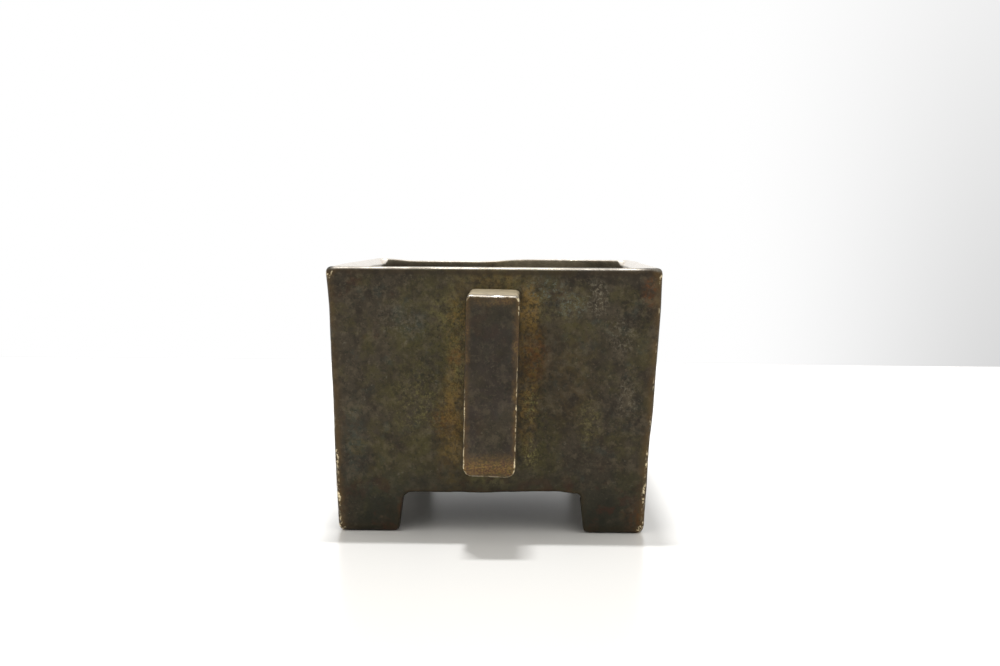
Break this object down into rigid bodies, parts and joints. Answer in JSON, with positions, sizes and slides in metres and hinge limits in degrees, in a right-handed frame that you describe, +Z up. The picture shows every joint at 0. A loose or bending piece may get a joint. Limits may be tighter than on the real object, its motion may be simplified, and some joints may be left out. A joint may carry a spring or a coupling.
{
  "type": "rectangular incense burner",
  "caption": "Heavy cast bronze trough for burning incense, flared towards the rim, on bracket feet, with a square strap handle at each end.",
  "frame": {"origin": "on the ground under the middle of the trough, at the bottom centre of the bounding box", "axes": "+Z up, +Y along the trough from the front end wall to the rear one, +X across it"},
  "size_m": [0.0898, 0.1693, 0.072],
  "materials": {
    "body_bronze": "old cast bronze, dark brown and olive patina",
    "floor_bronze": "cast bronze dulled by ash and heat",
    "handle_bronze": "cast bronze rubbed smooth, dark brown patina",
    "rivet_bronze": "hammered bronze, worn bright on the crown"
  },
  "bodies": {
    "root": {"cast_body": "body_bronze", "floor_plate": "floor_bronze", "front_handle": "handle_bronze", "rear_handle": "handle_bronze", "front_upper_rivet": "rivet_bronze", "front_lower_rivet": "rivet_bronze", "rear_upper_rivet": "rivet_bronze", "rear_lower_rivet": "rivet_bronze"}
  },
  "joints": []
}
